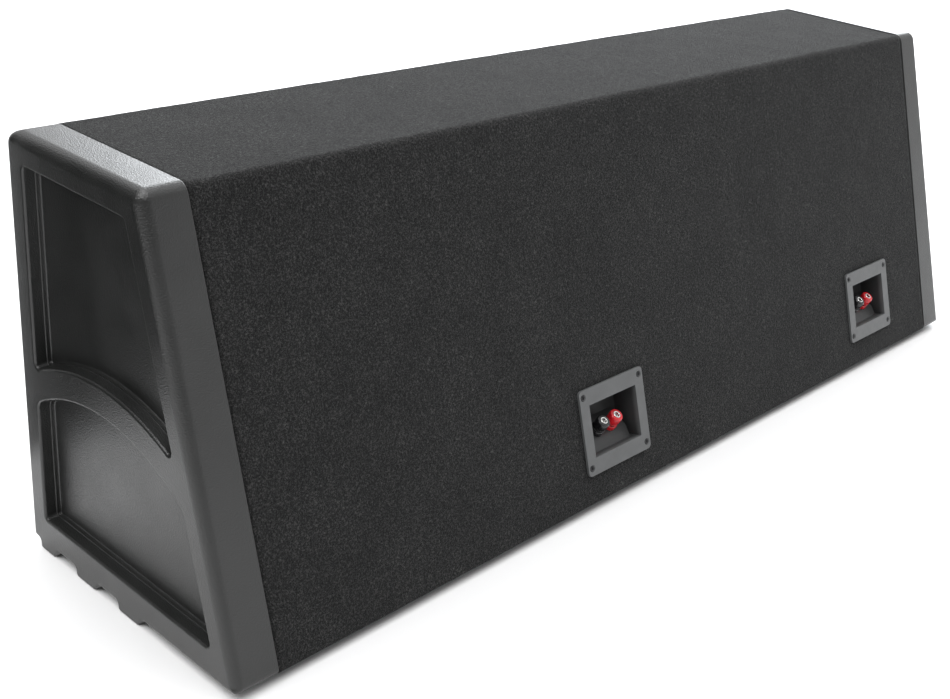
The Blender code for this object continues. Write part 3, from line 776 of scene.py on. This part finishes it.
CUP_MIDDLES = {side: sum(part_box(f"terminal_cup_{side}"), Vector()) / 2 for side in SIDES}
CUP_PLACES = {side: cup_place(middle.x) for side, middle in CUP_MIDDLES.items()}


def in_opening(point):
    """Whether a point of the carpet lies over a cup's or a driver's opening."""
    for place in CUP_PLACES.values():
        local = place.inverted() @ point
        over = abs(local.x) < CUP_HOLE[0] / 2 + MM and abs(local.y) < CUP_HOLE[1] / 2 + MM
        if over and abs(local.z) < CUP_REACH:
            return True
    if point.y > Y_FRONT + BAFFLE_REACH:
        return False
    reaches = [math.hypot(point.x - axis.x, point.z - axis.z) for axis in DRIVER_AXES.values()]
    return min(reaches) < DRIVER_CUTOUT


def build_carpet(material):
    """A matted sheet round the wedge's four sides, cut out over the cups and the drivers."""
    outline = even_outline(rounded(wedge(CARPET_INSET - CARPET_NAP), CARPET_ROUNDS, 8), CARPET_STEP)
    ends = CARPET_HIGH.x
    count = round(2 * ends / CARPET_STEP)
    bm = bmesh.new()
    add_loops(bm, [[(-ends + 2 * ends * i / count, *point) for point in outline] for i in range(count + 1)])
    over = [face for face in bm.faces if in_opening(face.calc_center_median())]
    bmesh.ops.delete(bm, geom=over, context="FACES")
    carpet = add_piece("carpet_felt_wrap", bm, material, sharp=80)
    for name, size in (("swell", 45 * MM), ("matting", 7 * MM)):
        pattern = bpy.data.textures.new(name, "CLOUDS")
        pattern.noise_scale = size
        pattern.noise_depth = 2
        displace = carpet.modifiers.new(name, "DISPLACE")
        displace.texture = pattern
        displace.texture_coords = "LOCAL"
        displace.strength = CARPET_SWELL
        displace.mid_level = 0.5
    skin = carpet.modifiers.new("skin", "SOLIDIFY")
    skin.thickness = CARPET_SKIN
    skin.offset = -1
    apply_modifiers(carpet)
    carpet.data.shade_smooth()
    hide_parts("carpet_wrap")
    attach(carpet, "cabinet")


# ---------------------------------------------------------------- terminal cups


def recess_profile(grow, top):
    half = CUP_MOUTH[1] / 2 + grow
    lean = math.tan(POST_TILT / 2)
    shelf = Vector(SHELF_END) + Vector((-grow * lean, -grow))
    deep = -CUP_FLOOR - grow
    foot = shelf.x + (shelf.y - deep) / math.tan(POST_TILT)
    start = SHELF_START_Z - grow
    return [(half, top), (half, deep), (foot, deep), tuple(shelf), (-half, start), (-half, top)]


def recess_solids(grow, top):
    half_x = CUP_MOUTH[0] / 2 + grow
    bm = bmesh.new()
    loops = add_loops(bm, [[(x, y, z) for y, z in recess_profile(grow, top)] for x in (-half_x, half_x)])
    bm.faces.new(loops[0])
    bm.faces.new(loops[-1])
    start = SHELF_STOP - grow
    width = half_x - start
    half_y = CUP_MOUTH[1] / 2 + grow
    corners = [(start, -half_y), (start + width, -half_y), (start + width, half_y), (start, half_y)]
    pocket = prism([Vector(corner) for corner in corners], -CUP_FLOOR - grow, top)
    return [bm, pocket]


def post_place(x):
    fall = (POST_UP - SHELF_END[0]) * math.tan(POST_TILT)
    return Matrix.Translation((x, POST_UP, SHELF_END[1] - fall)) @ Matrix.Rotation(-POST_TILT, 4, "X")


def corners_of(size):
    return [(x, y) for x in (-size[0], size[0]) for y in (-size[1], size[1])]


def build_cup(side, materials):
    place = CUP_PLACES[side]
    flange = prism(rectangle(CUP_WIDTH, CUP_HEIGHT, 4 * MM), -CUP_FLANGE, 0)
    cup = add_piece(f"cup_moulding_{side}", flange, None)
    for solid in recess_solids(CUP_WALL, -MM):
        cut(cup, solid, "UNION")
    for solid in recess_solids(0, MM):
        cut(cup, solid)
    bores = []
    for x, y in corners_of(CUP_SCREWS):
        sink = turned(mm_profile((0, 1), (4.4, 1), (3.5, 0), (2, -1.6), (2, -20), (0, -20)), 32)
        bores.append(moved(sink, Matrix.Translation((x, y, 0))))
    for x in (-POST_PITCH / 2, POST_PITCH / 2):
        bores.append(moved(prism(circle(2.4 * MM, 24), -8 * MM, 8 * MM), post_place(x)))
    cut(cup, merged(bores))
    soften(cup, 0.7 * MM, 3, materials["cup_plastic"])
    cup.matrix_world = place
    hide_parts(f"terminal_cup_{side}")
    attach(cup, "cabinet")

    for i, (x, y) in enumerate(corners_of(CUP_SCREWS)):
        build_cup_screw(f"{side}_{i + 1}", place @ Matrix.Translation((x, y, 0)), materials)
    for colour, x in (("black", -POST_PITCH / 2), ("red", POST_PITCH / 2)):
        build_post(f"{side}_{colour}", place @ post_place(x), colour, materials)


def build_cup_screw(name, place, materials):
    """A countersunk screw with a domed head and a cross recess."""
    dome = [(3.1 * math.sin(a), -0.55 + 0.5 * math.cos(a)) for a in (0.0, 0.4, 0.8, 1.2, 1.5)]
    profile = mm_profile(*dome, (3.1, -0.7), (1.5, -2.1), (1.5, -16), (0, -18))
    screw = add_piece(f"cup_cross_screw_{name}", turned(profile, 32), None)
    arms = []
    for turn in (0.4, 0.4 + math.pi / 2):
        arm = prism(rectangle(3.2 * MM, 0.75 * MM, 0.1 * MM, 1), -1.3 * MM, 1 * MM)
        arms.append(moved(arm, Matrix.Rotation(turn, 4, "Z")))
    for arm in arms:
        cut(screw, arm)
    refinish(screw, materials["black_screw"])
    screw.matrix_world = place
    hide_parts(f"cup_screw_{name}")
    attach(screw, "cabinet")


def build_post(name, place, colour, materials):
    """A fixed collar and stud, a washer that slides on it, and a knob with a plated ring in its face."""
    plastic = materials[f"{colour}_plastic"]

    def piece(kind, node, profile, material, slot, body):
        obj = add_piece(f"{kind}_{name}", turned(mm_profile(*profile), POST_STEPS), material)
        obj.matrix_world = place
        if node:
            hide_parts(f"{node}_{name}")
        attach(obj, body)

    collar = [(6.8, 0.2), (6.8, 3.9), (6.6, 4.5), (6.1, 4.95), (2.4, 4.95), (2.4, 0.2)]
    piece("binding_collar", "post_collar", collar, plastic, f"{colour}_plastic", "cabinet")
    washer = [(5.6, 5.2), (5.9, 5.35), (5.9, 5.85), (5.6, 6.0), (2.4, 6.0), (2.4, 5.2)]
    piece("binding_washer", "post_washer", washer, materials["nickel"], "nickel", f"washer_{name}")
    knob = [
        (6.1, 6.2), (6.5, 6.5), (6.5, 7.2), (6.25, 7.5), (6.25, 8.0), (6.55, 8.3), (6.55, 15.0), (6.3, 15.6),
        (5.7, 16.1), (3.6, 16.2), (3.6, 15.8), (2.5, 15.8), (2.5, 6.2),
    ]
    piece("binding_knob", "post_knob", knob, plastic, f"{colour}_plastic", f"knob_{name}")
    ring = [(3.5, 15.85), (3.5, 16.35), (3.3, 16.5), (2.5, 16.5), (2.3, 16.3), (2.3, 15.85)]
    piece("binding_ring", None, ring, materials["nickel"], "nickel", f"knob_{name}")
    stud = [
        (0, -9), (1.7, -9), (2, -8.7), (2, -5.6), (3.8, -5.6), (4, -5.3), (4, -3.1), (3.8, -2.8), (2, -2.8),
        (2, 14.9), (1.7, 15.2), (1.1, 15.2), (1.1, 12), (0, 12),
    ]
    piece("binding_stud", "post_stud", stud, materials["nickel"], "nickel", "cabinet")


# ---------------------------------------------------------------- drivers


def rolled(middle, radius, base, steps=16):
    """Points over a half roll, from its outer foot to its inner one."""
    turns = (math.pi * i / steps for i in range(steps + 1))
    return [(middle + radius * math.cos(turn), base + radius * math.sin(turn)) for turn in turns]


def surround_profile():
    over = rolled(127, 11.5, 5.5)
    under = rolled(127, 9.7, 4.3)[::-1]
    outer_lip = ((150, 4.3), (150, 5.3), (149.8, 5.5))
    inner_lip = ((108.3, 5.5), (108, 5.2), (108, 4.3))
    return mm_profile(*outer_lip, *over, *inner_lip, *under)


def spider_profile():
    """Four and a half waves that die away to a flat rim at both edges."""
    inner, outer, rim, level = 32.4, 67, 79, -58.3
    waves = 4.5
    over = []
    steps = 40
    for i in range(steps + 1):
        share = i / steps
        fade = min(1, 6 * share, 6 * (1 - share))
        wave = 1.6 * math.sin(2 * math.pi * waves * share + math.pi) * fade
        over.append((inner + (outer - inner) * share, level + wave))
    over.append((rim, level))
    under = [(radius, height - 0.7) for radius, height in reversed(over)]
    return mm_profile(*over, *under)


def build_driver(side, materials):
    axis = DRIVER_AXES[side]
    facing_front = Matrix.Rotation(math.pi / 2, 4, "X")
    place = Matrix.Translation((axis.x, Y_FRONT + CARPET_INSET, axis.z)) @ facing_front
    cone_body = f"moving_cone_{side}"

    def piece(name, node, profile, material, slot, body):
        obj = add_piece(f"{name}_{side}", turned(profile, DRIVER_STEPS), materials[material], weighted=True)
        obj.matrix_world = place
        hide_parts(f"{node}_{side}")
        if body:
            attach(obj, body)
        return obj

    ring = mm_profile(
        (155, 5.8), (155, 7.6), (154.6, 8.4), (153.8, 8.9), (152.8, 9.0), (142.2, 9.0), (141, 8.8),
        (140.2, 8.1), (140, 7.2), (140, 5.8),
    )
    piece("gasket_ring", "trim_ring", ring, "black_rubber", "rubber", "cabinet")
    basket = build_basket(side, place, materials)
    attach(basket, "cabinet")

    cone = mm_profile(
        (114, 4), (110, 3.9), (107, 3.0), (36, -43), (32.4, -45), (32.4, -47.5), (37, -45.5), (107, 1.2),
        (111, 2.2), (114, 2.6),
    )
    piece("pulp_cone", "cone", cone, "pressed_pulp", "cone_paper", cone_body)
    dome = [(55 * math.sin(a), -48 + 36.5 * math.cos(a)) for a in (0.0, 0.2, 0.4, 0.6, 0.8, 0.95, 1.04)]
    inner = [(radius * 0.97, height - 1.4) for radius, height in reversed(dome[:-1])]
    dome = mm_profile(*dome, (54.8, -29.9), *inner)
    piece("dome", "dust_cap", dome, "dome_plastic", "dust_cap", cone_body)

    for name, node, profile, material, slot, reach in (
        ("roll_surround", "surround", surround_profile(), "black_rubber", "rubber", (115.5, 138.5)),
        ("woven_spider", "spider", spider_profile(), "spider_cloth", "spider_cloth", (32.4, 67)),
    ):
        obj = piece(name, node, profile, material, slot, None)
        obj.modifiers.clear()
        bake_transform(obj)

    for i in range(DRIVER_SCREWS):
        turn = 2 * math.pi * (i + 0.5) / DRIVER_SCREWS
        build_driver_screw(f"{side}_{i + 1}", place, turn, materials)


def build_basket(side, place, materials):
    """A pressed basket with six windows between its spokes, and a block for the lead on one spoke."""
    profile = mm_profile(
        (154.7, 0.3), (155, 0.6), (155, 3.6), (154.6, 4), (136.2, 4), (135.6, 3.4), (135.6, 1.5),
        (133.3, -15), (96.5, -55.5), (81, -59.5), (65.5, -59.5), (62, -89.5), (60, -92.5), (48, -92.5),
        (48, -95), (62, -95), (64.5, -90), (68, -62), (82, -62), (98, -58), (136, -16), (138.5, 0.3),
    )
    basket = add_piece(f"pressed_basket_{side}", turned(profile, DRIVER_STEPS), None)
    windows = []
    half = math.radians(20)
    for i in range(BASKET_WINDOWS):
        middle = 2 * math.pi / BASKET_WINDOWS * i
        turns = [middle - half + half * 2 * j / 8 for j in range(9)]
        rim = [Vector((math.cos(turn), math.sin(turn))) * 131 * MM for turn in turns]
        hub = [Vector((math.cos(turn), math.sin(turn))) * 101 * MM for turn in reversed(turns)]
        windows.append(prism(rim + hub, -70 * MM, -5 * MM))
    cut(basket, merged(windows))
    block = prism(rectangle(12 * MM, 16 * MM, 1.5 * MM), -46 * MM, -33 * MM)
    spoke = Matrix.Rotation(TERMINAL_ANGLE, 4, "Z") @ Matrix.Translation((116 * MM, 0, 0))
    cut(basket, moved(block, spoke), "UNION")
    refinish(basket, materials["powder_coat"])
    basket.matrix_world = place
    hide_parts(f"basket_{side}")
    return basket


def build_driver_screw(name, place, turn, materials):
    """A socket head sitting on the gasket ring."""
    head = mm_profile((0, 9.6), (2.2, 9.6), (2.2, 11.1), (3.6, 11.1), (4.1, 10.7), (4.1, 9.05), (0, 9.05))
    screw = add_piece(f"driver_screw_{name}", turned(head, 24), materials["black_screw"])
    screw.matrix_world = place @ Matrix.Rotation(turn, 4, "Z") @ Matrix.Translation((SCREW_CIRCLE, 0, 0))
    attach(screw, "cabinet")


# ---------------------------------------------------------------- studio


def make_camera():
    """The camera stands behind the right-hand end, a little above the box, and leans a few degrees."""
    reach = math.cos(CAMERA_ELEVATION)
    back = Vector((
        math.sin(CAMERA_AZIMUTH) * reach, -math.cos(CAMERA_AZIMUTH) * reach, math.sin(CAMERA_ELEVATION),
    ))
    level = Vector((0, 0, 1)).cross(back).normalized()
    upright = back.cross(level)
    right = level * math.cos(CAMERA_LEAN) + upright * math.sin(CAMERA_LEAN)
    up = back.cross(right)
    camera = bpy.data.objects.new("camera", bpy.data.cameras.new("camera"))
    bpy.context.scene.collection.objects.link(camera)
    camera.data.sensor_width = 36
    camera.data.lens = CAMERA_LENS
    camera.data.shift_x, camera.data.shift_y = CAMERA_SHIFT
    camera.data.clip_start = 0.05
    turn = Matrix((right, up, back)).transposed().to_4x4()
    camera.matrix_world = Matrix.Translation(CAMERA_PLACE) @ turn
    bpy.context.scene.camera = camera


def add_back_light():
    """A broad cool softbox beyond the front of the box."""
    light = bpy.data.lights.new("back_wall", "AREA")
    light.shape = "RECTANGLE"
    light.size, light.size_y = BACK_SIZE
    light.energy = BACK_POWER
    light.color = BACK_COLOUR
    obj = bpy.data.objects.new("back_wall", light)
    bpy.context.scene.collection.objects.link(obj)
    turn = (Vector(BACK_TARGET) - Vector(BACK_PLACE)).to_track_quat("-Z", "Y")
    obj.matrix_world = Matrix.Translation(BACK_PLACE) @ turn.to_matrix().to_4x4()
    obj.visible_camera = False


def add_ceiling():
    sky = bpy.data.lights.new("soft_ceiling", "SUN")
    sky.energy = CEILING_POWER
    sky.angle = CEILING_ANGLE
    ceiling = bpy.data.objects.new("soft_ceiling", sky)
    ceiling.rotation_euler = CEILING_TILT
    bpy.context.scene.collection.objects.link(ceiling)


def make_world():
    """A white studio wall behind the front of the box, falling off to a dim room on the camera's side."""
    world = bpy.data.worlds.new("studio")
    world.use_nodes = True
    tree = world.node_tree
    background = tree.nodes["Background"]
    background.inputs["Strength"].default_value = 1.0
    place = tree.nodes.new("ShaderNodeTexCoord")
    facing = tree.nodes.new("ShaderNodeVectorMath")
    facing.operation = "DOT_PRODUCT"
    facing.inputs[1].default_value = WALL_SIDE
    ramp = tree.nodes.new("ShaderNodeValToRGB")
    stops = ((0.15, WORLD_DIM), (0.75, WORLD_BRIGHT))
    for element, (position, grey) in zip(ramp.color_ramp.elements, stops):
        element.position = position
        element.color = (grey, grey, grey * 1.01, 1)
    shift = tree.nodes.new("ShaderNodeMapRange")
    shift.inputs["From Min"].default_value = -1
    shift.inputs["From Max"].default_value = 1
    tree.links.new(place.outputs["Generated"], facing.inputs[0])
    tree.links.new(facing.outputs["Value"], shift.inputs["Value"])
    tree.links.new(shift.outputs["Result"], ramp.inputs["Fac"])
    tree.links.new(ramp.outputs["Color"], background.inputs["Color"])
    bpy.context.scene.world = world


def add_flag():
    """A dark card beyond the right-hand end, seen only in reflections, that keeps the cap's face deep."""
    bm = bmesh.new()
    corners = [FLAG_LOW, (FLAG_HIGH[0], FLAG_LOW[1]), FLAG_HIGH, (FLAG_LOW[0], FLAG_HIGH[1])]
    bm.faces.new([bm.verts.new((x, FLAG_Y, z)) for x, z in corners])
    card = Finish("flag_card", (0.02, 0.02, 0.02), 0.9, Specular_IOR_Level=0.1)
    card.colour_by(card.noise(0.05, 3), (0.3, 0.015), (0.7, 0.025))
    flag = add_piece("studio_flag", bm, card.material)
    flag.visible_camera = False
    flag.visible_diffuse = False
    flag.visible_shadow = False


def make_studio():
    bm = bmesh.new()
    bmesh.ops.create_grid(bm, x_segments=8, y_segments=8, size=FLOOR_HALF)
    floor = add_piece("studio_floor", bm, floor_paint())
    make_world()
    add_ceiling()
    add_back_light()
    add_flag()
    bpy.context.scene.view_settings.view_transform = "Standard"


# ---------------------------------------------------------------- everything


def dress_inner_nodes(materials):
    """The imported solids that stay: boards, gaskets, motor parts and leads."""
    kept = {
        "particle_board": (
            "front_baffle", "rear_panel", "top_panel", "bottom_panel", "end_panel_left", "end_panel_right",
            "centre_divider",
        ),
        "foam": ("cup_gasket_left", "cup_gasket_right"),
        "copper_former": ("voice_coil_left", "voice_coil_right"),
        "plated_steel": ("top_plate_left", "top_plate_right", "yoke_left", "yoke_right"),
        "ferrite": ("magnet_left", "magnet_right"),
        "black_rubber": ("speaker_lead_left", "speaker_lead_right"),
    }
    for finish, nodes in kept.items():
        for node in nodes:
            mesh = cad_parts[node].data
            mesh.materials.clear()
            mesh.materials.append(materials[finish])


make_camera()
make_studio()
MATERIALS = {
    "cap_plastic": cap_plastic(),
    "cup_plastic": cup_plastic(),
    "carpet_felt": carpet_felt(),
    "particle_board": particle_board(),
    "black_rubber": black_rubber(),
    "pressed_pulp": pressed_pulp(),
    "dome_plastic": dome_plastic(),
    "powder_coat": powder_coat(),
    "black_screw": metal("black_screw", (0.06, 0.06, 0.062), 0.3, 0.45),
    "plated_steel": metal("plated_steel", (0.55, 0.55, 0.53), 0.3, 0.45),
    "nickel": metal("nickel", (0.8, 0.79, 0.77), 0.12, 0.24),
    "ferrite": ferrite(),
    "spider_cloth": spider_cloth(),
    "copper_former": copper_former(),
    "red_plastic": gloss_plastic("red_plastic", (0.62, 0.012, 0.02)),
    "black_plastic": gloss_plastic("black_plastic", (0.01, 0.01, 0.011)),
    "foam": foam(),
}
dress_inner_nodes(MATERIALS)
build_carpet(MATERIALS["carpet_felt"])
for SIDE_NAME, SIDE in SIDES.items():
    build_cap(SIDE_NAME, SIDE, MATERIALS["cap_plastic"])
    build_driver(SIDE_NAME, MATERIALS)
    build_cup(SIDE_NAME, MATERIALS)
